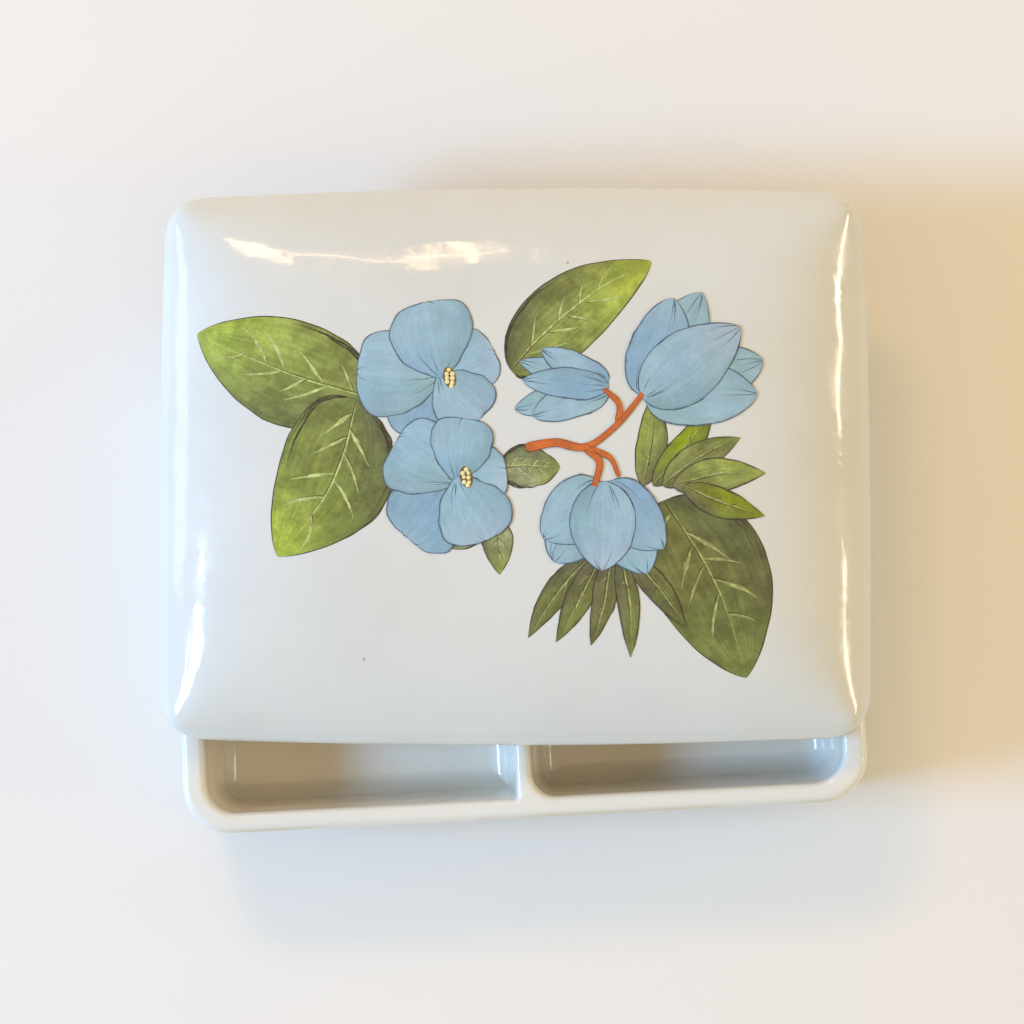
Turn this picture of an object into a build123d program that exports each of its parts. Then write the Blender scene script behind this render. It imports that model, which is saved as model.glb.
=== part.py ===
from build123d import *
import os

# Porcelain dish in two pieces: a shallow base with two wells side by side, and a
# loose lid with a pillow-shaped dome. The lid stands pushed back and slightly turned,
# so that the front of both wells is open.
# Millimetres. The origin is the middle of the base's footprint, on the plane that the
# foot stands on. +X is right, -Y is the front and +Z is up.

# ---- base: driving dimensions ----
base_length = 145.5
base_depth = 114.5
base_height = 28.0
base_corner_radius = 9.8
outside_lean = 1.2          # how far the outside leans in, from rim to foot
end_wall = 5.2              # width of the rim at the two short ends
side_wall = 4.3             # width of the rim at the front and the back
divider_width = 3.6         # width of the divider at its top
floor_thickness = 4.8
well_lean = 1.8             # how far each face of a well leans in, from rim to floor
cove_radius = 4.5           # where the faces of a well run into its floor
outer_corner_radius = 6.5   # corners of a well at the end walls
right_inner_radius = 5.0    # the right well's corners at the divider; the left well's are sharp
rim_outer_round = 2.0
rim_inner_round = 1.6
belly_round = 4.0           # outside edge between wall and underside
foot_width = 3.5
foot_height = 3.2
foot_inset = 2.6            # foot ring inside the lower edge of the wall
foot_corner_radius = 7.0

# ---- lid: driving dimensions ----
lid_length = 150.0
lid_depth = 118.0
lid_corner_radius = 9.0
end_bow = 0.9               # how far the short sides bow out in the middle
side_bow = 1.7              # how far the long sides bow out in the middle
lid_wall = 4.2
rim_band = 7.0              # height of the lid's upright side
dome_rise = 13.0            # height of the dome above the upright side
dome_power_x = 5.0          # a higher power gives a flatter top and steeper ends
dome_power_y = 4.0
hip_sharpness = 3.0         # how crisply the dome's slopes meet at its corners
dome_steps = 48             # points each way that the dome's surface is drawn through
dome_margin = 1.0           # how far that surface runs past the lid's outline
edge_round = 3.0            # outside edge between upright side and dome
inner_edge_round = 2.0      # the same edge inside the lid
lip_round = 0.8             # lower edges of the lid's wall
rib_depth = 3.0             # how far the locating ribs hang below the lid's rim
rib_head = 3.0              # how far a rib's inner face runs up above the rim
rib_thickness = 2.2
rib_clearance = 0.9         # between a rib and the wall of the well it drops into
rib_length = 46.0
rib_gap = 16.0              # gap between two ribs, where the divider passes

# ---- where the lid stands ----
lid_shift_x = 1.5
lid_shift_y = 17.3
lid_turn = -2.95            # degrees about +Z
seat_gap = 0.05             # keeps the lid's rim from touching the base's rim

# ---- values worked out from the above ----
floor_level = foot_height + floor_thickness
well_length = (base_length - 2 * end_wall - divider_width) / 2
well_depth = base_depth - 2 * side_wall
well_centre = (divider_width + well_length) / 2


def rectangle_with_corners(length, depth, left_radius, right_radius):
    """A rectangle whose two left corners and two right corners have their own radii."""
    shape = Rectangle(length, depth)
    if left_radius > 0:
        shape = fillet(shape.vertices().group_by(Axis.X)[0], left_radius)
    if right_radius > 0:
        shape = fillet(shape.vertices().group_by(Axis.X)[-1], right_radius)
    return shape


def well_void(left_radius, right_radius):
    """The space inside one well, centred on the origin in X and Y."""
    top = rectangle_with_corners(well_length, well_depth, left_radius, right_radius)
    bottom = rectangle_with_corners(
        well_length - 2 * well_lean,
        well_depth - 2 * well_lean,
        left_radius,
        right_radius,
    )
    void = loft([Pos(0, 0, floor_level) * bottom, Pos(0, 0, base_height) * top])
    return fillet(void.edges().group_by(Axis.Z)[0], cove_radius)


def base_shell():
    """The outside of the base, before the wells are taken out."""
    top = RectangleRounded(base_length, base_depth, base_corner_radius)
    bottom = RectangleRounded(
        base_length - 2 * outside_lean,
        base_depth - 2 * outside_lean,
        base_corner_radius - outside_lean,
    )
    body = loft([Pos(0, 0, foot_height) * bottom, Pos(0, 0, base_height) * top])
    body = fillet(body.edges().group_by(Axis.Z)[0], belly_round)
    return fillet(body.edges().group_by(Axis.Z)[-1], rim_outer_round)


def foot_ring():
    """The ring under the base that it stands on, run up into the middle of the floor."""
    outer_inset = outside_lean + foot_inset
    inner_inset = outer_inset + foot_width
    outer, inner = [
        RectangleRounded(base_length - 2 * inset, base_depth - 2 * inset, foot_corner_radius)
        for inset in (outer_inset, inner_inset)
    ]
    return extrude(outer - inner, foot_height + floor_thickness / 2)


def make_base():
    body = base_shell() + foot_ring()
    body -= Pos(-well_centre, 0, 0) * well_void(outer_corner_radius, 0)
    body -= Pos(well_centre, 0, 0) * well_void(right_inner_radius, outer_corner_radius)
    rim = body.faces().sort_by(Axis.Z)[-1]
    well_mouths = rim.inner_wires()
    return fillet([edge for mouth in well_mouths for edge in mouth.edges()], rim_inner_round)


def bowed_rectangle(inset):
    """The lid's outline, a rectangle with bowed sides and round corners, moved inwards by inset."""
    x = lid_length / 2 - inset
    y = lid_depth / 2 - inset
    corner_x = x - end_bow
    corner_y = y - side_bow
    sides = [
        ThreePointArc((-corner_x, -corner_y), (0, -y), (corner_x, -corner_y)),
        ThreePointArc((corner_x, -corner_y), (x, 0), (corner_x, corner_y)),
        ThreePointArc((corner_x, corner_y), (0, y), (-corner_x, corner_y)),
        ThreePointArc((-corner_x, corner_y), (-x, 0), (-corner_x, -corner_y)),
    ]
    outline = make_face(sides)
    return fillet(outline.vertices(), lid_corner_radius - inset)


def dome_height(x, y):
    """Height of the dome above the upright side: highest in the middle, none at the sides."""
    half_length = lid_length / 2 - end_bow * (2 * y / lid_depth) ** 2
    half_depth = lid_depth / 2 - side_bow * (2 * x / lid_length) ** 2
    along = 1 - abs(x / half_length) ** dome_power_x
    across = 1 - abs(y / half_depth) ** dome_power_y
    if min(along, across) <= 0:
        return dome_rise * min(along, across)
    steepness = along**-hip_sharpness + across**-hip_sharpness - 1
    return dome_rise * steepness ** (-1 / hip_sharpness)


def below_dome(lowered):
    """Everything under the dome's surface, with the surface lowered by some amount."""
    reach_x = lid_length / 2 + dome_margin
    reach_y = lid_depth / 2 + dome_margin
    rows = []
    for i in range(dome_steps + 1):
        x = reach_x * (2 * i / dome_steps - 1)
        row = []
        for j in range(dome_steps + 1):
            y = reach_y * (2 * j / dome_steps - 1)
            row.append(Vector(x, y, rim_band + dome_height(x, y) - lowered))
        rows.append(row)
    surface = Face.make_surface_from_array_of_points(rows)
    return Solid.extrude(surface, Vector(0, 0, -2 * (rim_band + dome_rise)))


def locating_ribs():
    """Four ribs under the lid that drop just inside the front and back walls of the wells."""
    outer = well_depth / 2 - rib_clearance
    inner = outer - rib_thickness
    into_wall = lid_depth / 2 - side_bow - lid_wall / 2
    profile = Polyline(
        (0, inner, -rib_depth),
        (0, outer, -rib_depth),
        (0, outer, 0),
        (0, into_wall, lip_round),
        (0, into_wall, rim_band),
        (0, inner, rib_head),
        (0, inner, -rib_depth),
    )
    bar = extrude(make_face(profile), rib_length, dir=(1, 0, 0))
    back_pair = [Pos(rib_gap / 2, 0, 0) * bar, Pos(-rib_gap / 2 - rib_length, 0, 0) * bar]
    front_pair = [Rot(0, 0, 180) * rib for rib in back_pair]
    return back_pair + front_pair


def lid_shell():
    """The lid's wall and dome, with its rim on the plane Z = 0 and its middle at the origin."""
    outside = extrude(bowed_rectangle(0), rim_band + dome_rise + edge_round) & below_dome(0)
    shoulder = outside.edges().filter_by(lambda edge: edge.center().Z > rim_band / 2)
    outside = fillet(shoulder, edge_round)
    hollow = extrude(bowed_rectangle(lid_wall), rim_band + dome_rise) & below_dome(lid_wall)
    inner_shoulder = hollow.edges().filter_by(lambda edge: edge.center().Z > rim_band / 4)
    hollow = fillet(inner_shoulder, inner_edge_round)
    shell = outside - hollow
    lip = shell.edges().filter_by(lambda edge: edge.center().Z < lip_round / 2)
    return fillet(lip, lip_round)


def make_lid():
    """The lid where it stands on the base."""
    lid = lid_shell()
    for rib in locating_ribs():
        lid += rib
    seat = base_height + seat_gap
    return Pos(lid_shift_x, lid_shift_y, seat) * Rot(0, 0, lid_turn) * lid


os.makedirs("parts", exist_ok=True)
base = make_base()
lid = make_lid()
export_step(base, "parts/base.step")
export_step(lid, "parts/lid.step")
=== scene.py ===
import math
import random

import bmesh
import bpy
import numpy as np
from mathutils import Matrix, Vector


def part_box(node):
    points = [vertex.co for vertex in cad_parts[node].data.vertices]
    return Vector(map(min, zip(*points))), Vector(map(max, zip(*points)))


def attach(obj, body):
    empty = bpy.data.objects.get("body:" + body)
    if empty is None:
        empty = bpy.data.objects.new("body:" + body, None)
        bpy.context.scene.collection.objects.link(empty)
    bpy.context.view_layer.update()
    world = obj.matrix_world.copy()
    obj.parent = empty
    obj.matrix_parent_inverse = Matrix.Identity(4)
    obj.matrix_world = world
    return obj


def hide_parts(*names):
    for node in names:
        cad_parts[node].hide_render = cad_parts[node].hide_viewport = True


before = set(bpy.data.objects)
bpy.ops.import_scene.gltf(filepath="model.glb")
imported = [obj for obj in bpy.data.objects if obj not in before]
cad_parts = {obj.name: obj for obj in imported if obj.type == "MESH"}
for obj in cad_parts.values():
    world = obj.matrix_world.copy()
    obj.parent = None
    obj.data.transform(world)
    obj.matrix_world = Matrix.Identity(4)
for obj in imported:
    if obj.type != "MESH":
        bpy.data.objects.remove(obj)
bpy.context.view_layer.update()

# A glazed porcelain dish: a base with two wells, and a loose pillow-shaped lid that is
# painted with a spray of blue flowers. Lengths are in millimetres unless a name says
# otherwise, and MM turns them into the metres of the frame.
MM = 0.001

# ---- the base, from the frame and the casting's own dimensions ----
base_low, base_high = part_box("base")
BASE_HALF_X = base_high.x / MM
BASE_HALF_Y = base_high.y / MM
RIM_LEVEL = base_high.z / MM
BASE_CORNER = 9.8
OUTSIDE_LEAN = 1.2
END_WALL = 5.2
SIDE_WALL = 4.3
DIVIDER_WIDTH = 3.6
FOOT_HEIGHT = 3.2
FOOT_WIDTH = 3.5
FOOT_INSET = 2.6
FLOOR_LEVEL = 8.0
WELL_LEAN = 1.8
COVE = 4.5
BELLY_ROUND = 4.0
BELLY_FLARE = 1.4            # how much further out the belly starts under the wall
FOOT_ROUND = 0.5
FLOOR_SAG = 0.25             # how far the middle of a well's floor sinks
RIM_OUTER_ROUND = 2.0
RIM_INNER_ROUND = 1.6
OUTER_CORNER = 6.5
RIGHT_INNER_CORNER = 5.0
SHARP_CORNER = 0.5
FOOT_BARE = 0.4              # the foot is unglazed up to here

# ---- the lid, whose middle is the middle of its CAD box ----
lid_low, lid_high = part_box("lid")
LID_X = (lid_low.x + lid_high.x) / 2 / MM
LID_Y = (lid_low.y + lid_high.y) / 2 / MM
LID_TURN = math.radians(-2.95)
LID_SEAT = RIM_LEVEL + 0.05
HALF_LENGTH = 75.0
HALF_DEPTH = 59.0
LID_CORNER = 9.0
END_BOW = 0.9
SIDE_BOW = 1.7
LID_WALL = 4.2
RIM_BAND = 7.0
DOME_RISE = 13.0
HIP_SHARPNESS = 3.0
DOME_POWER_X = 5.0
DOME_POWER_Y = 4.0
EDGE_WIDTH = 2.8
EDGE_DROP = 1.4
LIP_ROUND = 0.8
RIB_DEPTH = 3.0
RIB_HEAD = 3.0
RIB_THICKNESS = 2.2
RIB_CLEARANCE = 0.9
RIB_LENGTH = 46.0
RIB_GAP = 16.0
RIB_ROUND = 0.7


# ---------------------------------------------------------------- outlines

def rounded_rectangle(half_x, half_y, left_radius, right_radius, corner_steps=10, side_steps=(64, 50)):
    """Points anticlockwise round a rectangle whose left and right corners have their own radii."""
    corners = [
        (1, -1, right_radius, -90),
        (1, 1, right_radius, 0),
        (-1, 1, left_radius, 90),
        (-1, -1, left_radius, 180),
    ]
    arcs = []
    for sign_x, sign_y, radius, start in corners:
        angles = np.radians(np.linspace(start, start + 90, corner_steps + 1))
        centre = np.array([sign_x * (half_x - radius), sign_y * (half_y - radius)])
        arcs.append(centre + radius * np.c_[np.cos(angles), np.sin(angles)])
    points = []
    for index, arc in enumerate(arcs):
        following = arcs[(index + 1) % 4]
        steps = side_steps[1] if index % 2 == 0 else side_steps[0]
        share = np.linspace(0, 1, steps + 1)[1:-1, None]
        points.append(arc)
        points.append(arc[-1] + (following[0] - arc[-1]) * share)
    return np.concatenate(points)


def bowed(points):
    """Bows the sides of the lid's outline: the corners are drawn in and the middles stay."""
    x, y = points[:, 0], points[:, 1]
    out_x = x * (1 - END_BOW / HALF_LENGTH * (y / HALF_DEPTH) ** 2)
    out_y = y * (1 - SIDE_BOW / HALF_DEPTH * (x / HALF_LENGTH) ** 2)
    return np.c_[out_x, out_y]


def lid_outline(inset):
    radius = max(LID_CORNER - inset, 0.4)
    return bowed(rounded_rectangle(HALF_LENGTH - inset, HALF_DEPTH - inset, radius, radius))


# ---------------------------------------------------------------- the dome

def dome_height(xy):
    """The dome's height above the lid's upright side, with the slight waves of a cast wall."""
    x, y = xy[..., 0], xy[..., 1]
    half_x = HALF_LENGTH - END_BOW * (y / HALF_DEPTH) ** 2
    half_y = HALF_DEPTH - SIDE_BOW * (x / HALF_LENGTH) ** 2
    along = np.clip(1 - np.abs(x / half_x) ** DOME_POWER_X, 1e-4, 1)
    across = np.clip(1 - np.abs(y / half_y) ** DOME_POWER_Y, 1e-4, 1)
    steepness = along**-HIP_SHARPNESS + across**-HIP_SHARPNESS - 1
    share = steepness ** (-1 / HIP_SHARPNESS)
    # a long wave, a slanting one and a fine ripple, each less than a tenth of a millimetre high
    waves = 0.08 * np.sin(x / 9.0 + 1.3) * np.cos(y / 8.0 - 0.4)
    waves += 0.05 * np.sin((x + 1.7 * y) / 6.5 + 2.0)
    waves += 0.022 * np.sin(x / 3.1 + 0.7) * np.sin(y / 2.3 + 0.5 * np.sin(y / 7.0))
    return DOME_RISE * share + waves * np.clip(share * 4, 0, 1)


def lid_to_row(points):
    """Turns points in the lid's own millimetres into metres in the row's frame."""
    cos, sin = math.cos(LID_TURN), math.sin(LID_TURN)
    x = points[..., 0] * cos - points[..., 1] * sin + LID_X
    y = points[..., 0] * sin + points[..., 1] * cos + LID_Y
    return np.stack([x, y, points[..., 2] + LID_SEAT], axis=-1) * MM


def on_dome(xy, lift):
    """Points of the row's frame that stand lift above the dome at xy."""
    z = RIM_BAND + dome_height(xy) + lift
    return lid_to_row(np.concatenate([xy, z[..., None]], axis=-1))


# ---------------------------------------------------------------- meshes

def new_object(name, mesh, smooth_angle=40):
    mesh.update()
    mesh.polygons.foreach_set("use_smooth", [True] * len(mesh.polygons))
    mesh.set_sharp_from_angle(angle=math.radians(smooth_angle))
    piece = bpy.data.objects.new(name, mesh)
    bpy.context.scene.collection.objects.link(piece)
    return piece


def add_ring(bm, points):
    return [bm.verts.new(point) for point in points]


def join_rings(bm, rings):
    """Quads between each ring of vertices and the next."""
    for ring, following in zip(rings, rings[1:]):
        count = len(ring)
        for i in range(count):
            j = (i + 1) % count
            bm.faces.new((ring[i], ring[j], following[j], following[i]))


def close_ring(bm, ring):
    """A fan of triangles from a ring to a vertex in its middle."""
    centre = sum((vertex.co for vertex in ring), Vector()) / len(ring)
    middle = bm.verts.new(centre)
    for i, vertex in enumerate(ring):
        bm.faces.new((vertex, ring[(i + 1) % len(ring)], middle))


def finish_mesh(bm, name):
    bmesh.ops.recalc_face_normals(bm, faces=bm.faces)
    mesh = bpy.data.meshes.new(name)
    bm.to_mesh(mesh)
    bm.free()
    return mesh


def quarter(steps):
    """Angles from 0 to 90 degrees."""
    return [math.pi / 2 * i / steps for i in range(steps + 1)]


def lid_rings():
    """Rings of lid points, from the middle of the underside, round the rim, to the top."""
    rings = []

    def add(outline, heights):
        rings.append(np.c_[outline, np.broadcast_to(heights, len(outline))])

    inner_edge = lid_outline(LID_WALL + EDGE_WIDTH)
    for scale in np.linspace(0.03, 1, 36):
        outline = inner_edge * scale
        add(outline, RIM_BAND - LID_WALL + dome_height(outline))
    for angle in quarter(8)[::-1][1:]:
        outline = lid_outline(LID_WALL + EDGE_WIDTH * (1 - math.cos(angle)))
        drop = EDGE_DROP * (1 - math.sin(angle))
        add(outline, RIM_BAND - LID_WALL + dome_height(outline) - drop)
    foot_inner = LID_WALL - LIP_ROUND
    for angle in quarter(5):
        add(lid_outline(foot_inner + LIP_ROUND * math.cos(angle)), LIP_ROUND * (1 - math.sin(angle)))
    for angle in quarter(5)[::-1]:
        add(lid_outline(LIP_ROUND * (1 - math.cos(angle))), LIP_ROUND * (1 - math.sin(angle)))
    edge = lid_outline(0)
    wall_top = RIM_BAND - EDGE_DROP + dome_height(edge)
    for share in np.linspace(0, 1, 6)[1:]:
        add(edge, LIP_ROUND + (wall_top - LIP_ROUND) * share)
    for angle in quarter(12)[1:]:
        outline = lid_outline(EDGE_WIDTH * (1 - math.cos(angle)))
        add(outline, RIM_BAND + dome_height(outline) - EDGE_DROP * (1 - math.sin(angle)))
    for inset in np.linspace(EDGE_WIDTH, 8, 10)[1:]:
        outline = lid_outline(inset)
        add(outline, RIM_BAND + dome_height(outline))
    innermost = lid_outline(8)
    for scale in np.linspace(1, 0.012, 64)[1:]:
        outline = innermost * scale
        add(outline, RIM_BAND + dome_height(outline))
    return rings


def make_lid():
    bm = bmesh.new()
    rings = [add_ring(bm, lid_to_row(ring)) for ring in lid_rings()]
    join_rings(bm, rings)
    close_ring(bm, rings[0])
    close_ring(bm, rings[-1])
    return new_object("lid_body", finish_mesh(bm, "lid_body"))


def rib_sections(start, turn):
    """Outlines across one locating rib, from end to end, with its lower corners rounded."""
    outer = BASE_HALF_Y - SIDE_WALL - RIB_CLEARANCE
    inner = outer - RIB_THICKNESS
    into_wall = HALF_DEPTH - SIDE_BOW - LID_WALL / 2
    profile = [(inner, RIB_HEAD)]
    for angle in quarter(4):
        rise = RIB_ROUND * (1 - math.sin(angle))
        profile.append((inner + RIB_ROUND * (1 - math.cos(angle)), rise - RIB_DEPTH))
    for angle in quarter(4)[::-1]:
        rise = RIB_ROUND * (1 - math.sin(angle))
        profile.append((outer - RIB_ROUND * (1 - math.cos(angle)), rise - RIB_DEPTH))
    profile += [(outer, 0.0), (into_wall, LIP_ROUND), (into_wall, RIM_BAND)]
    middle = np.mean(profile, axis=0)
    steps = [(0.0, 0.55), (0.25, 0.82), (RIB_ROUND, 1.0)]
    steps += [(x, 1.0) for x in np.linspace(4, RIB_LENGTH - 4, 12)]
    steps += [(RIB_LENGTH - x, scale) for x, scale in steps[2::-1]]
    for x, scale in steps:
        across = (np.array(profile) - middle) * scale + middle
        yield lid_to_row(np.c_[np.full(len(across), start + x), across] * [turn, turn, 1])


def make_ribs():
    """Four ribs that drop just inside the wells' front and back walls when the lid is on square."""
    bm = bmesh.new()
    for turn in (1, -1):
        for start in (RIB_GAP / 2, -RIB_GAP / 2 - RIB_LENGTH):
            rings = [add_ring(bm, section) for section in rib_sections(start, turn)]
            join_rings(bm, rings)
            close_ring(bm, rings[0])
            close_ring(bm, rings[-1])
    return new_object("lid_ribs", finish_mesh(bm, "lid_ribs"))


def base_ring(inset, height):
    radius = max(BASE_CORNER - inset, 1.0)
    outline = rounded_rectangle(BASE_HALF_X - inset, BASE_HALF_Y - inset, radius, radius)
    return np.c_[outline, np.full(len(outline), height)] * MM


def base_outside_rings():
    """Rings from the middle of the underside, over the foot ring and up the wall, to the rim."""
    inner_foot = OUTSIDE_LEAN + FOOT_INSET + FOOT_WIDTH
    outer_foot = OUTSIDE_LEAN + FOOT_INSET
    rings = []
    middle = base_ring(inner_foot + FOOT_ROUND, FOOT_HEIGHT)
    for scale in np.linspace(0.04, 1, 16):
        rings.append(middle * [scale, scale, 1])
    for angle in quarter(3):
        inset = inner_foot - FOOT_ROUND * math.sin(angle)
        rings.append(base_ring(inset, FOOT_ROUND * (1 - math.sin(angle))))
    for angle in quarter(3)[::-1]:
        inset = outer_foot + 0.9 * FOOT_ROUND * math.sin(angle)
        rings.append(base_ring(inset, FOOT_ROUND * (1 - math.sin(angle))))
    rings.append(base_ring(outer_foot, FOOT_HEIGHT))
    lower_wall = OUTSIDE_LEAN * (1 - (FOOT_HEIGHT + BELLY_ROUND) / RIM_LEVEL)
    for angle in quarter(9):
        inset = lower_wall + BELLY_ROUND * (1 - math.sin(angle)) - BELLY_FLARE * math.cos(angle)
        rings.append(base_ring(inset, FOOT_HEIGHT + BELLY_ROUND * (1 - math.cos(angle))))
    wall_foot = FOOT_HEIGHT + BELLY_ROUND
    wall_head = RIM_LEVEL - RIM_OUTER_ROUND
    for share in np.linspace(0, 1, 12)[1:]:
        height = wall_foot + (wall_head - wall_foot) * share
        rings.append(base_ring(lower_wall * (1 - share), height))
    for angle in quarter(8)[1:]:
        inset = RIM_OUTER_ROUND * (1 - math.cos(angle))
        rings.append(base_ring(inset, wall_head + RIM_OUTER_ROUND * math.sin(angle)))
    rings.append(base_ring(RIM_OUTER_ROUND + 0.15, RIM_LEVEL))
    return rings


def well_rings(centre_x, half_x, left_radius, right_radius):
    """Rings of one well, from the flat of the rim, down the wall and cove, to the floor's middle."""
    half_y = BASE_HALF_Y - SIDE_WALL

    def ring(inset, height):
        left = max(left_radius - inset, SHARP_CORNER)
        right = max(right_radius - inset, SHARP_CORNER)
        outline = rounded_rectangle(half_x - inset, half_y - inset, left, right, side_steps=(34, 50))
        outline[:, 0] += centre_x
        return np.c_[outline, np.full(len(outline), height)] * MM

    rings = [ring(-RIM_INNER_ROUND - 0.1, RIM_LEVEL)]
    for angle in quarter(7):
        inset = -RIM_INNER_ROUND * (1 - math.sin(angle))
        rings.append(ring(inset, RIM_LEVEL - RIM_INNER_ROUND * (1 - math.cos(angle))))
    wall_head = RIM_LEVEL - RIM_INNER_ROUND
    wall_foot = FLOOR_LEVEL + COVE
    for share in np.linspace(0, 1, 12)[1:]:
        rings.append(ring(WELL_LEAN * share, wall_head + (wall_foot - wall_head) * share))
    for angle in quarter(9)[1:]:
        inset = WELL_LEAN + COVE * (1 - math.cos(angle))
        rings.append(ring(inset, wall_foot - COVE * math.sin(angle)))
    floor_edge = rings[-1]
    middle = np.array([centre_x * MM, 0, 0])
    for scale in np.linspace(1, 0.03, 24)[1:]:
        shrunk = (floor_edge - middle) * [scale, scale, 1] + middle
        shrunk[:, 2] -= FLOOR_SAG * MM * (1 - scale**2)
        rings.append(shrunk)
    return rings


def ring_edges(bm, ring):
    pairs = zip(ring, ring[1:] + ring[:1])
    return [bm.edges.get(pair) or bm.edges.new(pair) for pair in pairs]


def make_base():
    bm = bmesh.new()
    outside = [add_ring(bm, ring) for ring in base_outside_rings()]
    join_rings(bm, outside)
    close_ring(bm, outside[0])
    rim_loops = ring_edges(bm, outside[-1])
    half_x = (BASE_HALF_X - END_WALL - DIVIDER_WIDTH / 2) / 2
    centre_x = DIVIDER_WIDTH / 2 + half_x
    for side, left, right in ((-1, OUTER_CORNER, SHARP_CORNER), (1, RIGHT_INNER_CORNER, OUTER_CORNER)):
        rings = [add_ring(bm, ring) for ring in well_rings(side * centre_x, half_x, left, right)]
        join_rings(bm, rings)
        close_ring(bm, rings[-1])
        rim_loops += ring_edges(bm, rings[0])
    bmesh.ops.triangle_fill(bm, use_beauty=True, use_dissolve=False, edges=rim_loops)
    return new_object("base_body", finish_mesh(bm, "base_body"), smooth_angle=60)


# ---------------------------------------------------------------- drawing on the dome

LAYER_STEP = 0.02            # each layer of paint stands this much above the one below
FIRST_LAYER = 0.02           # and the lowest one this much above the glaze
INK_LIFT = 0.009             # ink stands this much above the paint it's drawn on
INK_RIDGE = 0.003            # and this much more along its middle, or less at its sides
OVER = 0.002                 # ink drawn over other ink stands this much higher
SUNK = -0.05                 # undersides of the paint lie inside the glaze


def paint_colour(red, green, blue):
    """A paint given as screen values from 0 to 255, turned into linear light."""
    return tuple(((c / 255 + 0.055) / 1.055) ** 2.4 for c in (red, green, blue))


def curve(points, steps):
    """A smooth curve through a few points."""
    points = np.array(points, float)
    padded = np.vstack([2 * points[0] - points[1], points, 2 * points[-1] - points[-2]])
    position = np.linspace(0, len(points) - 1, steps)
    index = np.minimum(position.astype(int), len(points) - 2)
    u = (position - index)[:, None]
    p0, p1, p2, p3 = (padded[index + k] for k in range(4))
    bend = (2 * p0 - 5 * p1 + 4 * p2 - p3) * u**2 + (3 * p1 - p0 - 3 * p2 + p3) * u**3
    return p1 + ((p2 - p0) * u + bend) / 2


def sideways(path):
    """Unit steps to the left of a path, at each of its points."""
    ahead = np.gradient(path, axis=0)
    ahead /= np.maximum(np.hypot(ahead[:, 0], ahead[:, 1]), 1e-9)[:, None]
    return np.c_[-ahead[:, 1], ahead[:, 0]]


def wobble(rng, count, waves=3):
    """A smooth random line of about unit height: the unsteadiness of a hand."""
    share = np.linspace(0, 1, count)
    line = np.zeros(count)
    for wave in range(1, waves + 1):
        line += rng.uniform(0.4, 1.0) / wave * np.sin(2 * math.pi * (wave * share + rng.random()))
    return line / 1.4


class Shape:
    """A leaf or a petal, whose midline runs from base to tip and whose width swells between.

    A sharpness of 1 makes an end pointed, 0.5 makes it round and less makes it blunt.
    Left and right are as seen going from base to tip. Bend pushes the midline to the left.
    """

    def __init__(self, base, tip, width, bend=0.0, base_sharp=0.7, tip_sharp=0.8, unsteady=0.14, seed=1):
        rng = random.Random(seed)
        base, span = np.array(base, float), np.array(tip, float) - np.array(base, float)
        self.width = width
        self.length = float(np.hypot(*span))
        self.along = span / self.length
        self.leftward = np.array([-self.along[1], self.along[0]])
        s = 0.5 - 0.5 * np.cos(np.linspace(0, math.pi, 240))
        widest = base_sharp / (base_sharp + tip_sharp)
        swell = (s / widest) ** base_sharp * ((1 - s) / (1 - widest)) ** tip_sharp
        middle = base + s[:, None] * span + (4 * bend * s * (1 - s))[:, None] * self.leftward
        across = (width / 2 * swell)[:, None] * self.leftward
        self.left_edge = self.trace(middle + across, unsteady, rng)
        self.right_edge = self.trace(middle - across, unsteady, rng)

    def trace(self, path, unsteady, rng):
        """An edge as a slightly unsteady line, given at places equally far apart."""
        travelled = np.r_[0, np.cumsum(np.hypot(*np.diff(path, axis=0).T))]
        even = np.linspace(0, travelled[-1], 200)
        path = np.c_[np.interp(even, travelled, path[:, 0]), np.interp(even, travelled, path[:, 1])]
        off = unsteady * wobble(rng, len(path), 8) * np.sin(math.pi * even / even[-1])
        return path + sideways(path) * off[:, None]

    def place(self, s, t):
        """Points at s along the shape and t across, -1 on the right edge to 1 on the left."""
        s, t = np.broadcast_arrays(np.asarray(s, float), np.asarray(t, float))
        steps = np.linspace(0, 1, len(self.left_edge))
        left, right = [
            np.stack([np.interp(s, steps, edge[:, 0]), np.interp(s, steps, edge[:, 1])], axis=-1)
            for edge in (self.left_edge, self.right_edge)
        ]
        return (left + right) / 2 + t[..., None] * (left - right) / 2

    def edge(self, side, start=0.0, stop=1.0):
        """The outline on one side, 1 for left and -1 for right."""
        count = max(12, int(self.length * (stop - start) / 0.5))
        s = np.linspace(max(start, 0.002), min(stop, 0.998), count)
        return self.place(s, np.full(count, float(side)))


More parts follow.
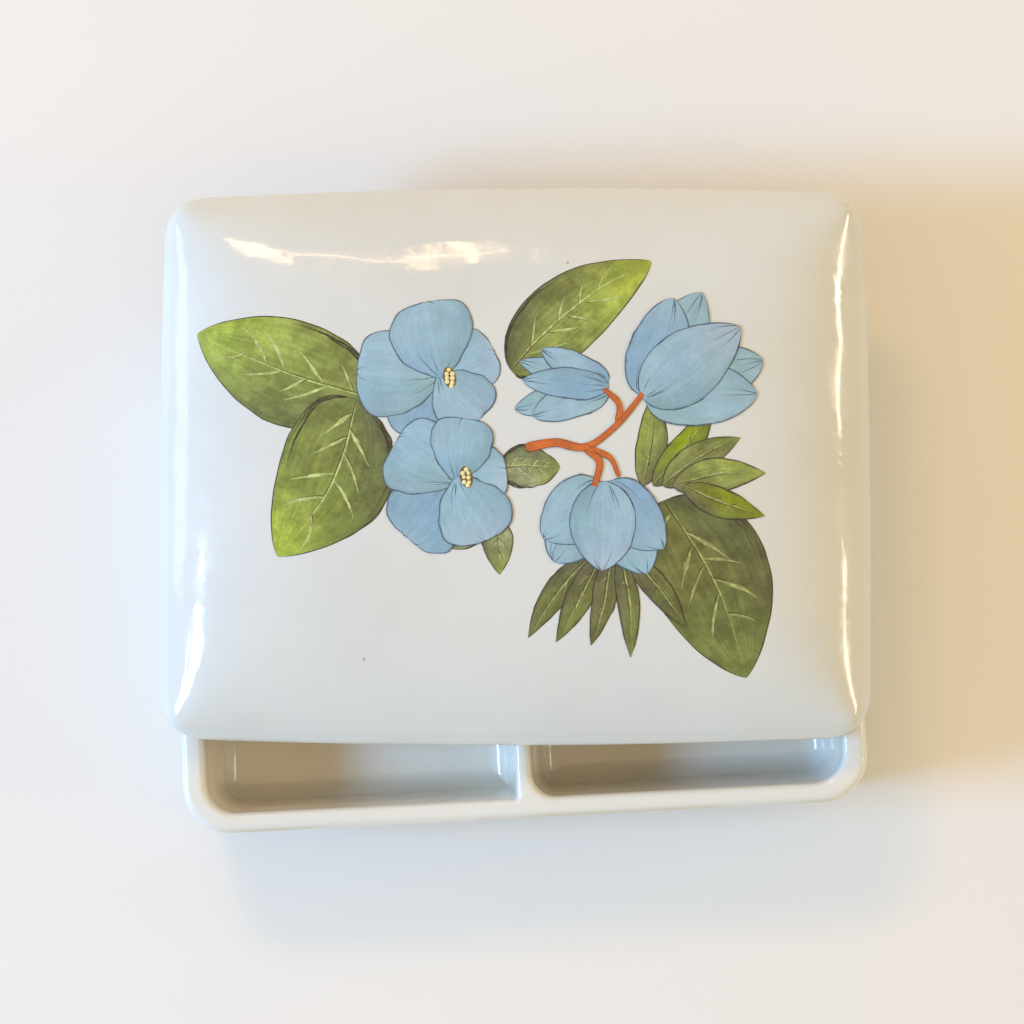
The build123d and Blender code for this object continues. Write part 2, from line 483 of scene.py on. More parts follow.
class Sheet:
    """Thin closed solids that lie on the dome, gathered into one mesh."""

    def __init__(self, name):
        self.name = name
        self.points, self.faces, self.uv, self.paint, self.kinds = [], [], [], [], []
        self.used = []

    def kind(self, material):
        if material not in self.used:
            self.used.append(material)
        return self.used.index(material)

    def add(self, points, faces, uv, paint, material):
        start = len(self.points)
        self.points.extend(points.tolist())
        self.faces.extend([[start + i for i in face] for face in faces])
        self.uv.extend(uv.tolist())
        self.paint.extend(paint.tolist())
        self.kinds.extend([self.kind(material)] * len(faces))

    def add_grid(self, xy, lift, uv, paint, material):
        """A sheet over a grid of places, with its underside sunk into the glaze."""
        rows, columns = xy.shape[:2]
        points = np.vstack([on_dome(xy, height).reshape(-1, 3) for height in (lift, SUNK)])
        size = rows * columns
        index = np.arange(size).reshape(rows, columns).tolist()
        faces = []
        for near, far in zip(index, index[1:]):
            for c in range(columns - 1):
                faces.append((near[c], near[c + 1], far[c + 1], far[c]))
        faces += [tuple(size + i for i in reversed(face)) for face in faces]
        rim = index[0] + [row[-1] for row in index[1:]]
        rim += index[-1][-2::-1] + [row[0] for row in index[-2:0:-1]]
        for here, there in zip(rim, rim[1:] + rim[:1]):
            faces.append((there, here, size + here, size + there))
        twice_uv = np.vstack([uv.reshape(-1, 2)] * 2)
        twice_paint = np.vstack([paint.reshape(-1, 3)] * 2)
        self.add(points, faces, twice_uv, twice_paint, material)

    def add_stroke(self, xy, widths, lift, paint, material):
        """A pen or brush stroke along a path, highest along its middle."""
        count = len(xy)
        across = sideways(xy) * (np.asarray(widths) / 2)[:, None]
        sides = [
            on_dome(xy + across, lift - INK_RIDGE),
            on_dome(xy, lift + INK_RIDGE),
            on_dome(xy - across, lift - INK_RIDGE),
            on_dome(xy, SUNK),
        ]
        points = np.stack(sides, axis=1).reshape(-1, 3)
        faces = []
        for i in range(count - 1):
            for k in range(4):
                j = (k + 1) % 4
                faces.append((4 * i + k, 4 * i + j, 4 * i + 4 + j, 4 * i + 4 + k))
        faces.append((3, 2, 1, 0))
        faces.append(tuple(4 * (count - 1) + k for k in range(4)))
        share = np.linspace(0, 1, count)
        uv = np.stack([np.repeat(share, 4), np.tile([0, 0.5, 1, 0.5], count)], axis=1)
        self.add(points, faces, uv, np.tile(np.array(paint), (count * 4, 1)), material)

    def add_dot(self, centre, radius, height, lift, paint, material):
        """A small raised dot of paint."""
        sides = 12
        rings = [(1.0, SUNK), (1.0, lift), (0.8, lift + 0.5 * height), (0.45, lift + 0.9 * height)]
        angles = np.linspace(0, 2 * math.pi, sides, endpoint=False)
        circle = np.c_[np.cos(angles), np.sin(angles)]
        points = [on_dome(np.array(centre) + circle * radius * scale, rise) for scale, rise in rings]
        points.append(on_dome(np.array([centre], float), lift + height))
        points.append(on_dome(np.array([centre], float), SUNK))
        last_ring = sides * (len(rings) - 1)
        top = sides * len(rings)
        faces = []
        for first in range(0, last_ring, sides):
            for i in range(sides):
                j = (i + 1) % sides
                faces.append((first + i, first + j, first + sides + j, first + sides + i))
        for i in range(sides):
            j = (i + 1) % sides
            faces.append((last_ring + i, last_ring + j, top))
            faces.append((j, i, top + 1))
        points = np.vstack(points)
        uv = np.zeros((len(points), 2)) + 0.5
        self.add(points, faces, uv, np.tile(np.array(paint), (len(points), 1)), material)

    def build(self):
        mesh = bpy.data.meshes.new(self.name)
        mesh.from_pydata(self.points, [], self.faces)
        for material in self.used:
            mesh.materials.append(material)
        mesh.polygons.foreach_set("material_index", self.kinds)
        loops = np.zeros(len(mesh.loops), dtype=np.int32)
        mesh.loops.foreach_get("vertex_index", loops)
        layer = mesh.uv_layers.new(name="strokes")
        layer.data.foreach_set("uv", np.array(self.uv, dtype=np.float32)[loops].ravel())
        colours = mesh.color_attributes.new("paint", "FLOAT_COLOR", "POINT")
        rgba = np.c_[np.array(self.paint), np.ones(len(self.paint))].astype(np.float32)
        colours.data.foreach_set("color", rgba.ravel())
        piece = new_object(self.name, mesh, smooth_angle=50)
        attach(piece, "lid")


def lift_of(layer):
    return FIRST_LAYER + LAYER_STEP * layer


def mix_paints(first, second, share):
    share = np.asarray(share)[..., None]
    return np.array(first) * (1 - share) + np.array(second) * share


def wash(sheet, blade, layer, paints, shade, shade_side, material):
    """Fills a blade with paint: three paints from base to tip, and a shade on one side."""
    rows = max(14, int(blade.length / 0.7))
    columns = max(10, int(blade.width / 0.7))
    s = 0.5 - 0.499 * np.cos(math.pi * np.linspace(0, 1, rows))
    t = np.linspace(-1, 1, columns)
    grid_s, grid_t = np.meshgrid(s, t, indexing="ij")
    near = np.clip(grid_s * 2, 0, 1)
    far = np.clip(grid_s * 2 - 1, 0, 1)
    colour = mix_paints(paints[0], paints[1], near**1.3)
    colour = colour * (1 - far[..., None]) + np.array(paints[2]) * far[..., None]
    dark = np.clip(grid_t * shade_side, 0, 1) ** 0.7 * np.clip(1.15 - grid_s, 0, 1)
    dark = np.clip(dark + np.clip(0.28 - grid_s, 0, 1) * 1.2, 0, 0.9) * (1 if shade_side else 0)
    colour = colour * (1 - dark[..., None]) + np.array(shade) * dark[..., None]
    uv = np.stack([grid_s, grid_t / 2 + 0.5], axis=-1)
    sheet.add_grid(blade.place(grid_s, grid_t), lift_of(layer), uv, colour, material)


def pen_widths(rng, count, width, fade_in=0.06, fade_out=0.12):
    share = np.linspace(0, 1, count)
    ends = np.clip(share / fade_in, 0.12, 1) * np.clip((1 - share) / fade_out, 0.12, 1)
    return width * ends * (0.78 + 0.3 * wobble(rng, count, 5))


def pen(sheet, xy, width, layer, ink, rng, unsteady=0.07, rise=0, **fades):
    """A line of ink, thick and thin, that does not quite keep to its path."""
    off = sideways(xy) * (unsteady * wobble(rng, len(xy), 6))[:, None]
    widths = np.maximum(pen_widths(rng, len(xy), width, **fades), 0.03)
    sheet.add_stroke(xy + off, widths, lift_of(layer) + INK_LIFT + rise, ink, INK)


def outline(sheet, blade, layer, ink, rng, width):
    """Both edges of a blade in ink, gone over again here and there."""
    for side in (-1, 1):
        pen(sheet, blade.edge(side), width, layer, ink, rng)
        if rng.random() < 0.6:
            start = rng.uniform(0.05, 0.4)
            path = blade.edge(side, start, start + rng.uniform(0.25, 0.5))
            pen(sheet, path, width * 0.6, layer, ink, rng, unsteady=0.22, rise=0.0015)


def creases(sheet, blade, layer, ink, rng):
    """Fine strokes that fan out of a petal's base and run in from its outer edge."""
    for _ in range(4):
        t = rng.uniform(-0.7, 0.7)
        start, stop = rng.uniform(0.05, 0.14), rng.uniform(0.22, 0.46)
        path = blade.place(np.linspace(start, stop, 12), np.linspace(t * 0.8, t, 12))
        pen(sheet, path, 0.17, layer, ink, rng, fade_out=0.6)
    for _ in range(3):
        t = rng.uniform(-0.75, 0.75)
        stop = rng.uniform(0.66, 0.84)
        path = blade.place(np.linspace(0.985, stop, 12), np.linspace(t, t * 0.8 + 0.05, 12))
        pen(sheet, path, 0.18, layer, ink, rng, fade_out=0.6)


def veins(sheet, blade, layer, rng, pairs, pale):
    """A midrib and side veins, each a pale stroke with a dark line drawn beside it."""
    rib = blade.place(np.linspace(0.04, 0.9, 30), np.zeros(30))
    nudge = blade.leftward * 0.25
    pen(sheet, rib + nudge, 0.6, layer, pale, rng, fade_in=0.5, fade_out=0.6)
    pen(sheet, rib, 0.2, layer, LEAF_INK, rng, rise=OVER, fade_out=0.6)
    for pair in range(pairs):
        for side in (-1, 1):
            # side veins leave the midrib in turn, the left one half a step beyond the right one
            start = 0.14 + 0.56 * (pair + 0.25 * (side + 1) + 0.5 * rng.random()) / pairs
            span = rng.uniform(0.08, 0.2)
            share = np.linspace(0, 1, 16)
            s = start + span * share**1.2
            t = side * rng.uniform(0.4, 0.72) * share
            path = blade.place(s, t)
            width = rng.uniform(0.04, 0.065) * blade.width
            pen(sheet, path + blade.along * 0.3 * width, width, layer, pale, rng, fade_in=0.5, fade_out=0.7)
            if rng.random() < 0.75:
                pen(sheet, path, 0.17, layer, LEAF_INK, rng, rise=OVER, fade_out=0.7)


def smudge(sheet, blade, layer, side, stop, rng):
    """Dark, loose strokes gone over again and again along an edge, from the base to about stop."""
    for _ in range(4):
        first = rng.uniform(0, stop / 2)
        path = blade.edge(side * rng.uniform(0.86, 1.0), first, rng.uniform(first + 0.1, stop + 0.1))
        width = rng.uniform(0.2, 0.5)
        pen(sheet, path, width, layer, LEAF_INK, rng, unsteady=0.35, rise=OVER, fade_out=0.4)


# ---------------------------------------------------------------- materials

def add_node(tree, kind, inputs=None, **settings):
    """Adds a node; inputs holds values or sockets by name or number."""
    node = tree.nodes.new("ShaderNode" + kind)
    for name, value in settings.items():
        setattr(node, name, value)
    for name, value in (inputs or {}).items():
        if isinstance(value, bpy.types.NodeSocket):
            tree.links.new(value, node.inputs[name])
        else:
            node.inputs[name].default_value = value
    return node


def maths(tree, operation, first, second=0.0):
    return add_node(tree, "Math", {0: first, 1: second}, operation=operation).outputs[0]


def blend(tree, share, first, second, mode="MIX"):
    """Mixes two colours, given as sockets or as linear triples."""
    def colour(value):
        return value if isinstance(value, bpy.types.NodeSocket) else (*value, 1.0)
    inputs = {0: share, 6: colour(first), 7: colour(second)}
    return add_node(tree, "Mix", inputs, data_type="RGBA", blend_type=mode).outputs[2]


def noise(tree, vector, scale, detail):
    """A noise socket whose features are about 1 / scale of the vector's unit."""
    inputs = {"Vector": vector, "Scale": scale, "Detail": detail, "Roughness": 0.55}
    return add_node(tree, "TexNoise", inputs).outputs["Fac"]


def spread(tree, value, low, high, first=0.0, second=1.0):
    """Stretches low..high of a value to first..second, smoothly and without overrun."""
    inputs = {"Value": value, "From Min": low, "From Max": high, "To Min": first, "To Max": second}
    return add_node(tree, "MapRange", inputs, interpolation_type="SMOOTHSTEP").outputs["Result"]


def new_material(name):
    material = bpy.data.materials.new(name)
    material.use_nodes = True
    tree = material.node_tree
    place = add_node(tree, "TexCoord").outputs["Object"]
    return material, tree, tree.nodes["Principled BSDF"], place


def bump(tree, shader, height, distance, strength=1.0):
    inputs = {"Height": height, "Distance": distance * MM, "Strength": strength}
    tree.links.new(add_node(tree, "Bump", inputs).outputs["Normal"], shader.inputs["Normal"])


def stretched(tree, vector, x, y, z=1.0):
    return add_node(tree, "Mapping", {"Vector": vector, "Scale": (x, y, z)}).outputs["Vector"]


def paint_material(name, mottle, grain, streaks, tints, rough):
    """Watercolour under glaze: the colour stored in the mesh, mottled, streaked and grained."""
    material, tree, shader, place = new_material(name)
    stored = add_node(tree, "Attribute", attribute_name="paint").outputs["Color"]
    strokes = add_node(tree, "UVMap", uv_map="strokes").outputs["UV"]
    cloud = spread(tree, noise(tree, place, 230, 4), 0.32, 0.68, 1 - mottle, 1 + mottle)
    fine = spread(tree, noise(tree, place, 1400, 3), 0.3, 0.7, 1 - grain, 1 + grain)
    lines = noise(tree, stretched(tree, strokes, 2.2, 17.0), 1.0, 3)
    brushed = spread(tree, lines, 0.35, 0.65, 1 - streaks, 1 + streaks)
    value = maths(tree, "MULTIPLY", maths(tree, "MULTIPLY", cloud, fine), brushed)
    warm = spread(tree, noise(tree, place, 120, 3), 0.42, 0.62, 0.0, 0.55)
    cool = spread(tree, noise(tree, stretched(tree, place, 1.0, 1.3, 1.0), 170, 4), 0.5, 0.68, 0.0, 0.5)
    colour = blend(tree, warm, stored, tints[0], "MULTIPLY")
    colour = blend(tree, cool, colour, tints[1], "MULTIPLY")
    separate = add_node(tree, "SeparateXYZ", {0: strokes})
    rim = maths(tree, "ABSOLUTE", maths(tree, "SUBTRACT", separate.outputs["Y"], 0.5))
    rim = maths(tree, "MAXIMUM", maths(tree, "MULTIPLY", rim, 2.0), separate.outputs["X"])
    pooled = spread(tree, rim, 0.86, 0.99, 1.0, 0.90)
    value = maths(tree, "MULTIPLY", value, pooled)
    grey = add_node(tree, "CombineColor", {0: value, 1: value, 2: value}).outputs[0]
    colour = blend(tree, 1.0, colour, grey, "MULTIPLY")
    tree.links.new(colour, shader.inputs["Base Color"])
    tree.links.new(spread(tree, fine, 0.9, 1.1, rough - 0.06, rough + 0.08), shader.inputs["Roughness"])
    shader.inputs["Coat Weight"].default_value = 0.35
    shader.inputs["Coat Roughness"].default_value = 0.12
    bump(tree, shader, lines, 0.02, 0.5)
    return material


def ink_material():
    material, tree, shader, place = new_material("ink")
    stored = add_node(tree, "Attribute", attribute_name="paint").outputs["Color"]
    density = spread(tree, noise(tree, place, 700, 3), 0.35, 0.7, 0.85, 1.5)
    grey = add_node(tree, "CombineColor", {0: density, 1: density, 2: density}).outputs[0]
    tree.links.new(blend(tree, 1.0, stored, grey, "MULTIPLY"), shader.inputs["Base Color"])
    tree.links.new(spread(tree, density, 0.8, 1.5, 0.28, 0.45), shader.inputs["Roughness"])
    return material


def glaze_material(name, body, cloud_tint, stain_and_painted_light=None):
    """White glaze with faint clouds, a few specks, soft waves and, on the base, a stain and painted light
    inside the wells.
    """
    material, tree, shader, place = new_material(name)
    clouds = spread(tree, noise(tree, place, 28, 3), 0.35, 0.65, 0.0, 0.6)
    colour = blend(tree, clouds, body, cloud_tint)
    cells = add_node(tree, "TexVoronoi", {"Vector": place, "Scale": 130.0, "Randomness": 1.0})
    speck = spread(tree, cells.outputs["Distance"], 0.03, 0.055, 1.0, 0.0)
    chosen = add_node(tree, "SeparateColor", {0: cells.outputs["Color"]}).outputs[0]
    chosen = maths(tree, "GREATER_THAN", chosen, 0.955)
    speck = maths(tree, "MULTIPLY", maths(tree, "MULTIPLY", speck, chosen), 0.55)
    colour = blend(tree, speck, colour, paint_colour(126, 112, 92))
    # on the base: a brownish line of wear along the rim, and painted light inside the wells
    if stain_and_painted_light:
        colour = stain_and_painted_light(tree, place, colour)
    tree.links.new(colour, shader.inputs["Base Color"])
    smears = noise(tree, stretched(tree, place, 1.0, 2.2, 1.0), 60, 4)
    tree.links.new(spread(tree, smears, 0.35, 0.7, 0.07, 0.17), shader.inputs["Roughness"])
    shader.inputs["Coat Weight"].default_value = 0.5
    shader.inputs["Coat Roughness"].default_value = 0.04
    waves = noise(tree, place, 55, 2)
    for scale, share in ((200, 0.32), (900, 0.05)):
        waves = maths(tree, "ADD", waves, maths(tree, "MULTIPLY", noise(tree, place, scale, 2), share))
    bump(tree, shader, waves, 0.25)
    return material


def base_stain_and_painted_well_light(tree, place, colour):
    """Painted light inside the wells: a paler, creamier colour that stands in for light bouncing between
    their walls; and a brownish line of wear along the rim's front.
    """
    axes = add_node(tree, "SeparateXYZ", {0: place})
    # painted light: inside each well, below the rim, the glaze is given a paler and warmer colour
    low = spread(tree, axes.outputs["Z"], (RIM_LEVEL - 6.0) * MM, (RIM_LEVEL - 1.5) * MM, 1.0, 0.0)
    for axis, edge in (("X", BASE_HALF_X - END_WALL / 2), ("Y", BASE_HALF_Y - SIDE_WALL / 2)):
        within = maths(tree, "LESS_THAN", maths(tree, "ABSOLUTE", axes.outputs[axis]), edge * MM)
        low = maths(tree, "MULTIPLY", low, within)
    # the cream mixed in here is painted fill light, not a glaze colour
    colour = blend(tree, low, colour, paint_colour(246, 238, 220))
    front = -BASE_HALF_Y * MM
    across = spread(tree, axes.outputs["Y"], front - 0.3 * MM, front + 1.1 * MM, 1.0, 0.0)
    height = spread(tree, axes.outputs["Z"], (RIM_LEVEL - 4.5) * MM, (RIM_LEVEL - 0.6) * MM, 0.0, 1.0)
    patches = spread(tree, noise(tree, stretched(tree, place, 1.0, 0.2, 0.2), 42, 4), 0.44, 0.66, 0.0, 0.8)
    share = maths(tree, "MULTIPLY", maths(tree, "MULTIPLY", across, height), patches)
    return blend(tree, share, colour, paint_colour(186, 178, 130))


def bisque_material():
    """Bare, matt, slightly grainy porcelain, where the foot stands."""
    material, tree, shader, place = new_material("bisque")
    grain = spread(tree, noise(tree, place, 1500, 4), 0.3, 0.7, 0.0, 1.0)
    colour = blend(tree, grain, paint_colour(214, 206, 190), paint_colour(186, 174, 154))
    tree.links.new(colour, shader.inputs["Base Color"])
    shader.inputs["Roughness"].default_value = 0.85
    bump(tree, shader, grain, 0.05)
    return material


PETAL = paint_material("petal_paint", 0.06, 0.035, 0.05, ((0.90, 0.93, 1.0), (0.88, 1.0, 0.97)), 0.30)
LEAF = paint_material("leaf_paint", 0.25, 0.09, 0.14, ((0.86, 0.92, 0.72), (0.98, 0.88, 0.80)), 0.34)
STEM = paint_material("stem_paint", 0.14, 0.06, 0.12, ((1.0, 0.86, 0.7), (0.9, 0.9, 0.8)), 0.34)
STAMEN = paint_material("stamen_paint", 0.10, 0.05, 0.02, ((1.0, 0.97, 0.8), (0.97, 0.95, 0.9)), 0.28)
INK = ink_material()


# ---------------------------------------------------------------- the spray of flowers

SKY = paint_colour(150, 186, 204)
MIST = paint_colour(168, 190, 208)
DEEP = paint_colour(132, 170, 198)
TEAL = paint_colour(146, 184, 186)
SEA = paint_colour(128, 164, 176)
PETAL_INK = paint_colour(74, 93, 113)
LEAF_INK = paint_colour(58, 56, 42)
LIME = paint_colour(170, 190, 70)
GREEN = paint_colour(140, 156, 78)
OLIVE = paint_colour(124, 134, 76)
SAGE = paint_colour(142, 152, 112)
DARK = paint_colour(84, 92, 66)
MURK = paint_colour(96, 98, 76)
VEIN = paint_colour(168, 180, 116)
ORANGE = paint_colour(196, 104, 48)
RUST = paint_colour(140, 72, 40)
CREAM = paint_colour(236, 230, 176)
BROWN = paint_colour(126, 98, 48)
MOSS = paint_colour(106, 112, 62)
FERN = paint_colour(118, 132, 66)
FOREST = paint_colour(72, 76, 50)
YELLOW = paint_colour(128, 146, 20)
FAINT_VEIN = paint_colour(146, 156, 98)

STEM_LAYER = 13.5
PETAL_PAINTS = [(SKY, SKY, MIST), (DEEP, SKY, SKY), (TEAL, SKY, SKY), (DEEP, DEEP, SKY)]


def draw_petal(sheet, blade, layer, paints, seed, shade_side):
    rng = random.Random(seed)
    wash(sheet, blade, layer, paints, SEA, shade_side, PETAL)
    outline(sheet, blade, layer, PETAL_INK, rng, width=0.27)
    creases(sheet, blade, layer, PETAL_INK, rng)


def draw_leaf(sheet, blade, layer, paints, seed, shade_side, shade=DARK, pairs=4, pale=VEIN):
    rng = random.Random(seed)
    wash(sheet, blade, layer, paints, shade, shade_side, LEAF)
    outline(sheet, blade, layer, LEAF_INK, rng, width=0.26)
    veins(sheet, blade, layer, rng, pairs, pale)


def stamens(sheet, centre, layer, seed):
    """Cream dots on a brown ground, in the heart of a flower."""
    rng = random.Random(seed)
    x, y = centre
    ground = Shape((x - 0.4, y + 2.1), (x + 0.6, y - 2.3), 2.6, base_sharp=0.5, tip_sharp=0.5, unsteady=0.0)
    wash(sheet, ground, layer, (BROWN, BROWN, BROWN), BROWN, 0, LEAF)
    rows = ((0, 1.5, 1), (0, 0.7, 2), (0.1, -0.2, 2), (0.2, -1.1, 2), (0.4, -1.8, 1))
    for right, back, count in rows:
        for k in range(count):
            dot_x = x + right + 1.15 * (k - (count - 1) / 2) + rng.uniform(-0.12, 0.12)
            dot_y = y + back + rng.uniform(-0.12, 0.12)
            radius = rng.uniform(0.38, 0.5)
            sheet.add_dot((dot_x, dot_y), radius, 0.12, lift_of(layer) + 0.01, CREAM, STAMEN)


def pointing(angle, distance):
    """A step in a direction given in degrees: 0 is to the lid's right, 90 to its back."""
    return np.array([math.cos(math.radians(angle)), math.sin(math.radians(angle))]) * distance


def open_flower(name, heart, reach, petals, turn, lean, first_layer, seed):
    """A flower seen from the front; the petals are longer on the side that lean points to."""
    sheet = Sheet(name)
    rng = random.Random(seed)
    order = list(range(petals))
    rng.shuffle(order)
    overlap = 0.6
    for layer, k in enumerate(order, start=first_layer):
        angle = turn + 360 * k / petals + rng.uniform(-6, 6)
        longer = 1 + 0.2 * math.cos(math.radians(angle - lean))
        length = (reach + overlap) * longer * rng.uniform(0.95, 1.05)
        start = heart - pointing(angle, overlap)
        blade = Shape(
            start, start + pointing(angle, length), length * rng.uniform(0.98, 1.08),
            bend=rng.uniform(-0.6, 0.6), base_sharp=0.75, tip_sharp=rng.uniform(0.3, 0.4),
            unsteady=0.5, seed=seed + k,
        )
        draw_petal(sheet, blade, layer, PETAL_PAINTS[k % len(PETAL_PAINTS)], seed + k, (-1) ** k)
    stamens(sheet, heart + pointing(lean + 180, 1.8), first_layer + petals - 0.2, seed)
    sheet.build()


def closed_flower(name, base, facing, fan, length, width, first_layer, seed):
    """A flower seen from the side: petals fan out from its base, with the middle one in front."""
    sheet = Sheet(name)
    rng = random.Random(seed)
    between = 0.55
    for layer, place in enumerate((-between, between, -1, 1, 0), start=first_layer):
        behind = abs(place) == between
        angle = facing + fan * place + rng.uniform(-4, 4)
        start = np.array(base) + pointing(facing + 90, 1.2 * place)
        reach = length * (1.04 if behind else 1 - 0.12 * abs(place)) * rng.uniform(0.95, 1.05)
        blade = Shape(
            start, start + pointing(angle, reach), width * rng.uniform(0.92, 1.08),
            bend=-0.08 * width * place, base_sharp=0.55, tip_sharp=rng.uniform(0.6, 0.8),
            unsteady=0.2, seed=seed + layer,
        )
        paints = (DEEP, TEAL, SKY) if behind else PETAL_PAINTS[layer % len(PETAL_PAINTS)]
        draw_petal(sheet, blade, layer, paints, seed + layer, 1 if place < 0 else -1)
    sheet.build()


def broad_leaf(name, base, tip, width, bend, paints, layer, seed, pale=VEIN):
    """A broad leaf with dark, loose strokes gone over along its base."""
    sheet = Sheet(name)
    blade = Shape(base, tip, width, bend, base_sharp=0.5, tip_sharp=0.8, unsteady=0.3, seed=seed)
    draw_leaf(sheet, blade, layer, paints, seed, 1 if bend >= 0 else -1, pale=pale)
    rng = random.Random(seed)
    for side in (-1, 1):
        smudge(sheet, blade, layer, side, 0.45, rng)
    sheet.build()


def leaf_fan(name, base, step, angles, length, width, first_layer, seed, paints):
    """Narrow leaves that spread from a short twig, whose next leaf starts one step further on."""
    sheet = Sheet(name)
    rng = random.Random(seed)
    for k, angle in enumerate(angles):
        start = np.array(base) + k * np.array(step)
        reach = length * rng.uniform(0.82, 1.12)
        blade = Shape(
            start, start + pointing(angle, reach), width * rng.uniform(0.9, 1.1),
            bend=rng.uniform(-0.9, 0.9), tip_sharp=1.0, seed=seed + k,
        )
        own_paints = paints[k % len(paints)]
        draw_leaf(sheet, blade, first_layer + k, own_paints, seed + k, -1, MURK, pairs=2, pale=FAINT_VEIN)
    sheet.build()


def paint_stem():
    """The orange stalk that carries the bud and the two closed flowers, over all the petals."""
    sheet = Sheet("stem")
    rng = random.Random(15)
    fork = (15.0, 2.0)
    stalks = [
        (((3, 2), (9, 3), fork, (21, 6), (27, 13)), 1.9, 1.0),
        (((22, 7), (22, 11), (19, 14)), 1.5, 0.8),
        ((fork, (18, -1), (17, -6)), 1.6, 1.2),
        ((fork, (20, 0), (22, -4)), 1.2, 0.8),
    ]
    for points, first, last in stalks:
        path = curve(points, 40)
        taper = np.linspace(first, last, 40) * (1 + 0.06 * wobble(rng, 40))
        ends = np.clip(np.linspace(0, 1, 40) / 0.03, 0.5, 1)
        sheet.add_stroke(path, taper * ends, lift_of(STEM_LAYER), ORANGE, STEM)
        edge = sideways(path) * (0.95 * taper / 2)[:, None]
        for side in (-1, 1):
            pen(sheet, path + side * edge, 0.2, STEM_LAYER, RUST, rng)
    sheet.build()


def paint_spray():
    """A spray of blue flowers and green leaves across the lid's middle."""
    bright = (OLIVE, GREEN, LIME)
    mixed = (OLIVE, FERN, LIME)
    dark = (MOSS, MOSS, FERN)
    pale = (SAGE, SAGE, GREEN)
    broad_leaf("leaf_upper_left", (-30, 13), (-66, 27), 22, 1.0, bright, 1, 11)
    broad_leaf("leaf_lower_left", (-32, 12), (-48, -20), 24, 3.0, mixed, 2, 12)
    broad_leaf("leaf_upper_middle", (0, 18), (29, 41), 16, 2.0, bright, 1, 13)
    broad_leaf("leaf_big", (31, -9), (48, -45), 25, 2.0, dark, 1, 14, pale=FAINT_VEIN)
    broad_leaf("leaf_middle", (-2, -2), (10, -2), 9, 0.0, pale, 2, 15)
    leaf_fan("leaves_below", (-5, -12), (1.5, 0), (210, 275), 11, 6.5, 1, 20, [pale])
    leaf_fan("leaves_right", (27, -6), (2, 0), (84, 52, 32, 8, -20), 20, 6.5, 2, 30,
             [(OLIVE, GREEN, GREEN), (MOSS, YELLOW, YELLOW), (OLIVE, OLIVE, FERN)])
    leaf_fan("leaves_fan", (16, -20), (2, 0), (233, 243, 258, 276, 308), 22, 5, 2, 40,
             [(MURK, MOSS, MOSS), (FOREST, MOSS, FERN)])
    open_flower("flower_upper", np.array([-14.5, 17]), 14.2, 5, 30, 170, 3, 51)
    open_flower("flower_lower", np.array([-11, -4.5]), 13.5, 5, 10, 200, 9, 62)
    closed_flower("bud", (20, 14.5), 178, 20, 18, 7, 3, 71)
    closed_flower("flower_right", (27, 12), 38, 34, 25, 13.5, 8, 81)
    closed_flower("flower_hanging", (19, -5), 266, 42, 19, 12.5, 8, 91)
    paint_stem()


# ---------------------------------------------------------------- stage, lights, camera

LIGHT_DISTANCE = 1.6         # metres
CAMERA_PLACE = (0.0134, -0.0304, 0.5102)
CAMERA_LENS = 79.8
CAMERA_ROLL = math.radians(3.08)
TILT_TO_BACK = math.radians(4.43)
TILT_TO_LEFT = math.radians(1.77)


def make_stage():
    """A plain, pale, matt floor, 6 metres square."""
    mesh = bpy.data.meshes.new("floor")
    reach = 3.0
    corners = [(-reach, -reach, 0), (reach, -reach, 0), (reach, reach, 0), (-reach, reach, 0)]
    mesh.from_pydata(corners, [], [(0, 1, 2, 3)])
    floor = bpy.data.objects.new("floor", mesh)
    bpy.context.scene.collection.objects.link(floor)
    material = bpy.data.materials.new("floor_paint")
    material.use_nodes = True
    shader = material.node_tree.nodes["Principled BSDF"]
    shader.inputs["Base Color"].default_value = (0.775, 0.79, 0.765, 1)
    shader.inputs["Roughness"].default_value = 0.9
    mesh.materials.append(material)


def make_camera():
    """Almost straight above the dish, leaning a little to the back and to the left."""
    up = Vector((math.sin(CAMERA_ROLL), math.cos(CAMERA_ROLL), 0))
    right = Vector((math.cos(CAMERA_ROLL), -math.sin(CAMERA_ROLL), 0))
    forward = Vector((0, 0, -1)) + up * math.tan(TILT_TO_BACK) - right * math.tan(TILT_TO_LEFT)
    forward.normalize()
    right = forward.cross(up).normalized()
    up = right.cross(forward)
    data = bpy.data.cameras.new("camera")
    data.sensor_width = 36
    data.lens = CAMERA_LENS
    data.clip_start = 0.01
    camera = bpy.data.objects.new("camera", data)
    camera.location = CAMERA_PLACE
    rotation = np.array([right, up, -forward]).T
    camera.rotation_euler = Matrix(rotation.tolist()).to_euler()
    bpy.context.scene.collection.objects.link(camera)
    bpy.context.scene.camera = camera


def away(azimuth, elevation, distance):
    """A place seen from the dish in a direction given in degrees; azimuth 90 is the back."""
    turn, rise = math.radians(azimuth), math.radians(elevation)
    flat = math.cos(rise) * distance
    return Vector((math.cos(turn) * flat, math.sin(turn) * flat, math.sin(rise) * distance))


def area_light(name, azimuth, elevation, width, height, power, colour, shape="RECTANGLE", mirrored=True):
    """A soft light that looks at the dish; one that isn't mirrored leaves no highlight."""
    aim = Vector((0.0, 0.0, 0.03))
    light = bpy.data.lights.new(name, "AREA")
    light.shape = shape
    light.size = width
    light.size_y = height
    light.energy = power
    light.color = colour
    lamp = bpy.data.objects.new(name, light)
    lamp.location = away(azimuth, elevation, LIGHT_DISTANCE) + aim
    lamp.rotation_euler = (aim - lamp.location).to_track_quat("-Z", "Y").to_euler()
    lamp.visible_glossy = mirrored
    bpy.context.scene.collection.objects.link(lamp)


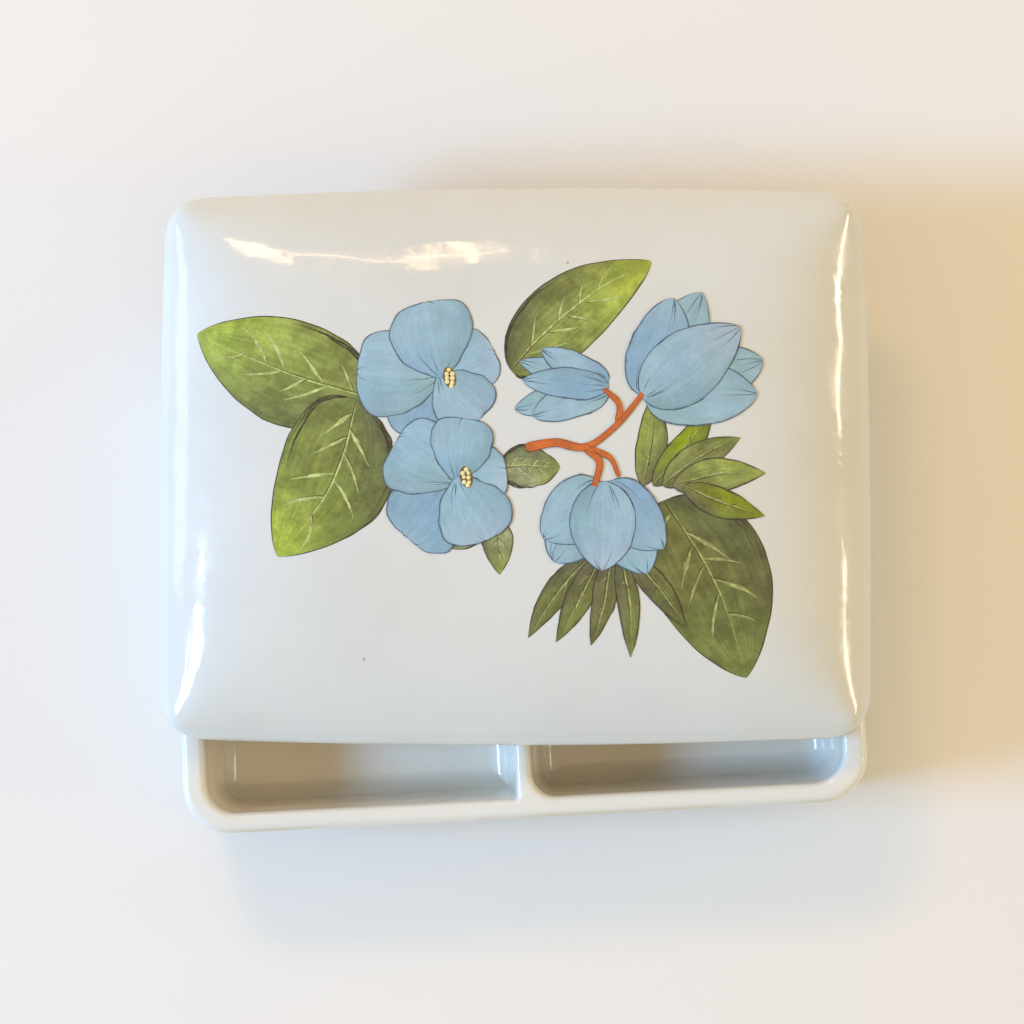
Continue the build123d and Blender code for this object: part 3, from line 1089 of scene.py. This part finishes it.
def make_room_light():
    """A dim, warm light from all around."""
    world = bpy.data.worlds.new("room")
    world.use_nodes = True
    background = world.node_tree.nodes["Background"]
    background.inputs["Color"].default_value = (1.0, 0.80, 0.54, 1)
    background.inputs["Strength"].default_value = 0.745
    bpy.context.scene.world = world
    bpy.context.scene.view_settings.view_transform = "Standard"


def make_lights():
    """Cool daylight from the left, warm lamps behind, a low warm glow from the right."""
    sky = (0.52, 0.74, 1.0)
    warm = (1.0, 0.62, 0.30)
    cream = (1.0, 0.86, 0.66)
    area_light("window", 185, 30, 0.56, 0.34, 21, (0.15, 0.45, 0.95), mirrored=False)
    area_light("window_pane", 186.3, 29.5, 0.54, 0.24, 7.0, sky, shape="ELLIPSE")
    area_light("window_gap", 183, 22, 0.22, 0.03, 0.6, sky, shape="ELLIPSE")
    area_light("window_side", 166, 14, 0.50, 0.22, 0.9, sky)
    area_light("lamp", 107, 44, 0.40, 0.28, 3.5, (1.0, 0.52, 0.18), mirrored=False)
    area_light("lamp_left", 113, 42.5, 0.24, 0.22, 1.8, warm)
    area_light("lamp_right", 92.1, 40, 0.010, 0.34, 0.35, warm)
    area_light("lamp_rail", 102, 41.5, 0.50, 0.020, 0.5, warm)
    area_light("glow_back", 15, 22, 0.58, 0.09, 2.1, cream, shape="ELLIPSE")
    area_light("glow_middle", 0, 22, 0.04, 0.02, 0.04, cream, shape="ELLIPSE")
    area_light("glow_front", -12, 21, 0.60, 0.12, 2.5, cream, shape="ELLIPSE")


def place_lid():
    """The glazed lid and its ribs, standing for the CAD lid."""
    lid = make_lid()
    ribs = make_ribs()
    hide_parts("lid")
    body, clouds = paint_colour(211, 218, 216), paint_colour(205, 212, 210)
    glaze = glaze_material("lid_glaze", body, clouds)
    for piece in (lid, ribs):
        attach(piece, "lid")
        piece.data.materials.append(glaze)


def place_base():
    """The base, glazed down to its bare foot, standing for the CAD base."""
    base = make_base()
    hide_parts("base")
    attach(base, "base")
    body, clouds = paint_colour(223, 227, 222), paint_colour(215, 220, 215)
    # the base's glaze carries painted light inside its wells
    glaze = glaze_material("base_glaze", body, clouds, base_stain_and_painted_well_light)
    base.data.materials.append(glaze)
    base.data.materials.append(bisque_material())
    for face in base.data.polygons:
        if face.center.z < FOOT_BARE * MM:
            face.material_index = 1


place_lid()
place_base()
paint_spray()
make_stage()
make_lights()
make_room_light()
make_camera()
